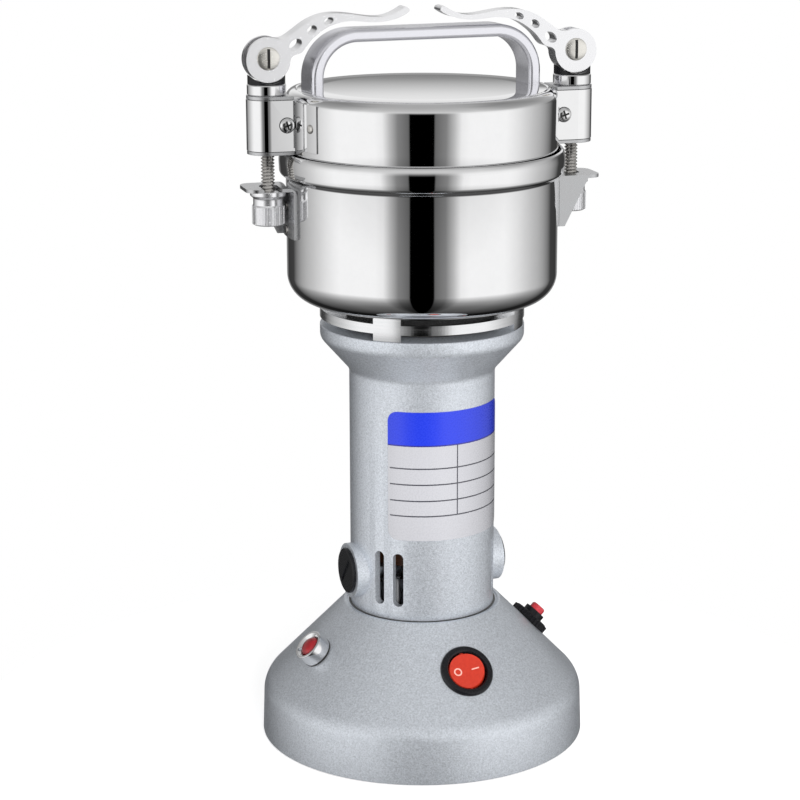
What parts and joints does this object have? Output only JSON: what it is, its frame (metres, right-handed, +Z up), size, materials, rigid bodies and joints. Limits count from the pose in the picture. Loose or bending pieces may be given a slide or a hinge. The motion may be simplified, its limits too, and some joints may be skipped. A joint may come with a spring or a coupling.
{
  "type": "electric grain mill",
  "caption": "Upright electric grain mill: round polished bowl with a lid held by cam levers, on a motor column with a conical base, rocker switch, lamp and reset button.",
  "frame": {"origin": "middle of the footprint, on the surface the mill stands on", "axes": "+Z up along the spindle, -Y the front with the switch, +X along the lid handle to the reset button's side"},
  "size_m": [0.1628, 0.1488, 0.3349],
  "materials": {
    "silver_paint": "silver paint with a fine sand texture",
    "polished_steel": "mirror-polished stainless steel",
    "handle_paint": "satin pale grey coating",
    "cast_silver": "bright satin casting",
    "bright_steel": "nickel-plated steel",
    "zinc_plate": "zinc-plated sheet steel",
    "black_plastic": "black moulded plastic",
    "red_rocker": "red-orange gloss plastic",
    "red_lens": "deep red clear plastic",
    "reset_red": "red gloss plastic",
    "black_rubber": "black rubber",
    "clear_silicone": "translucent silicone",
    "label_print": "printed label, blank table",
    "bare_aluminium": "turned aluminium",
    "electrical_steel": "laminated core",
    "copper": "enamelled copper wire",
    "carbon": "carbon brush",
    "blade_steel": "ground stainless blade",
    "cream_plastic": "moulded nylon"
  },
  "bodies": {
    "stand": {"base_housing": "silver_paint", "base_plate": "zinc_plate", "rubber_feet": "black_rubber", "base_screws": "bright_steel", "terminal_block": "cream_plastic", "motor_housing": "silver_paint", "name_label": "label_print", "housing_screws": "bright_steel", "stator_core": "electrical_steel", "field_coils": "copper", "lower_bearing_bracket": "bare_aluminium", "upper_bearing_bracket": "bare_aluminium", "bearings": "bright_steel", "brush_holders": "bare_aluminium", "carbon_brushes": "carbon", "brush_springs": "bright_steel", "brush_caps": "black_plastic", "vent_spacer": "bare_aluminium", "bowl": "polished_steel", "bowl_screws": "bright_steel", "shaft_seal": "bare_aluminium", "bracket_rivets": "bright_steel", "switch_body": "black_plastic", "lamp_bezel": "bright_steel", "lamp_lens": "red_lens", "lamp_nut": "bright_steel", "breaker_body": "black_plastic", "breaker_nut": "black_plastic", "cord_grommet": "black_rubber", "bowl_bracket_right": "zinc_plate", "bowl_bracket_left": "zinc_plate"},
    "lid": {"lid_shell": "polished_steel", "lid_liner": "polished_steel", "lid_gasket": "clear_silicone", "lid_handle": "handle_paint", "handle_screws": "bright_steel", "clamp_straps": "polished_steel", "clamp_blocks": "zinc_plate", "clamp_screws": "bright_steel", "seat_washers": "bright_steel", "cam_saddles": "black_plastic"},
    "spindle": {"motor_shaft": "bright_steel", "armature_core": "electrical_steel", "armature_winding": "copper", "commutator": "copper", "cooling_fan": "black_plastic", "grinding_blades": "blade_steel", "blade_sleeves": "bright_steel", "blade_nut": "bright_steel"},
    "rocker": {"rocker": "red_rocker"},
    "reset_button": {"reset_button": "reset_red"},
    "rod_right": {"clamp_rod_right": "bright_steel"},
    "lever_right": {"cam_lever_right": "cast_silver", "pivot_pin_right": "bright_steel"},
    "nut_right": {"knurled_nut_right": "cast_silver"},
    "rod_left": {"clamp_rod_left": "bright_steel"},
    "lever_left": {"cam_lever_left": "cast_silver", "pivot_pin_left": "bright_steel"},
    "nut_left": {"knurled_nut_left": "cast_silver"}
  },
  "joints": [
    {"name": "lid_turn", "type": "hinge", "parent": "stand", "child": "lid", "pos_m": [0, 0, 0.2681], "axis": [0, 0, 1], "range_deg": [0, 160]},
    {"name": "spindle_spin", "type": "hinge", "parent": "stand", "child": "spindle", "pos_m": [0, 0, 0.0805], "axis": [0, 0, 1], "continuous": true},
    {"name": "rocker_tilt", "type": "hinge", "parent": "stand", "child": "rocker", "pos_m": [0, -0.05264, 0.04426], "axis": [0, 0.6968, 0.7173], "range_deg": [0, 22]},
    {"name": "reset_press", "type": "slide", "parent": "stand", "child": "reset_button", "axis": [-0.7173, 0, -0.6968], "range_m": [0, 0.0025], "stiffness_N_per_m": 400, "springref_m": -0.0005},
    {"name": "rod_right_drop", "type": "slide", "parent": "lid", "child": "rod_right", "axis": [0, 0, -1], "range_m": [0, 0.00114]},
    {"name": "lever_right_open", "type": "hinge", "parent": "rod_right", "child": "lever_right", "pos_m": [0.06968, -0.00671, 0.3144], "axis": [0.0958, 0.9954, 0], "range_deg": [0, 150]},
    {"name": "nut_right_turn", "type": "hinge", "parent": "rod_right", "child": "nut_right", "pos_m": [0.06968, -0.00671, 0.2418], "axis": [0, 0, 1], "continuous": true},
    {"name": "rod_left_drop", "type": "slide", "parent": "lid", "child": "rod_left", "axis": [0, 0, -1], "range_m": [0, 0.00114]},
    {"name": "lever_left_open", "type": "hinge", "parent": "rod_left", "child": "lever_left", "pos_m": [-0.06968, 0.00671, 0.3144], "axis": [-0.0958, -0.9954, 0], "range_deg": [0, 150]},
    {"name": "nut_left_turn", "type": "hinge", "parent": "rod_left", "child": "nut_left", "pos_m": [-0.06968, 0.00671, 0.2418], "axis": [0, 0, 1], "continuous": true}
  ],
  "couplings": [
    {"joint": "rod_right_drop", "follows": "lever_right_open", "m_per_rad": 0.00042766},
    {"joint": "rod_left_drop", "follows": "lever_left_open", "m_per_rad": 0.00042766}
  ]
}
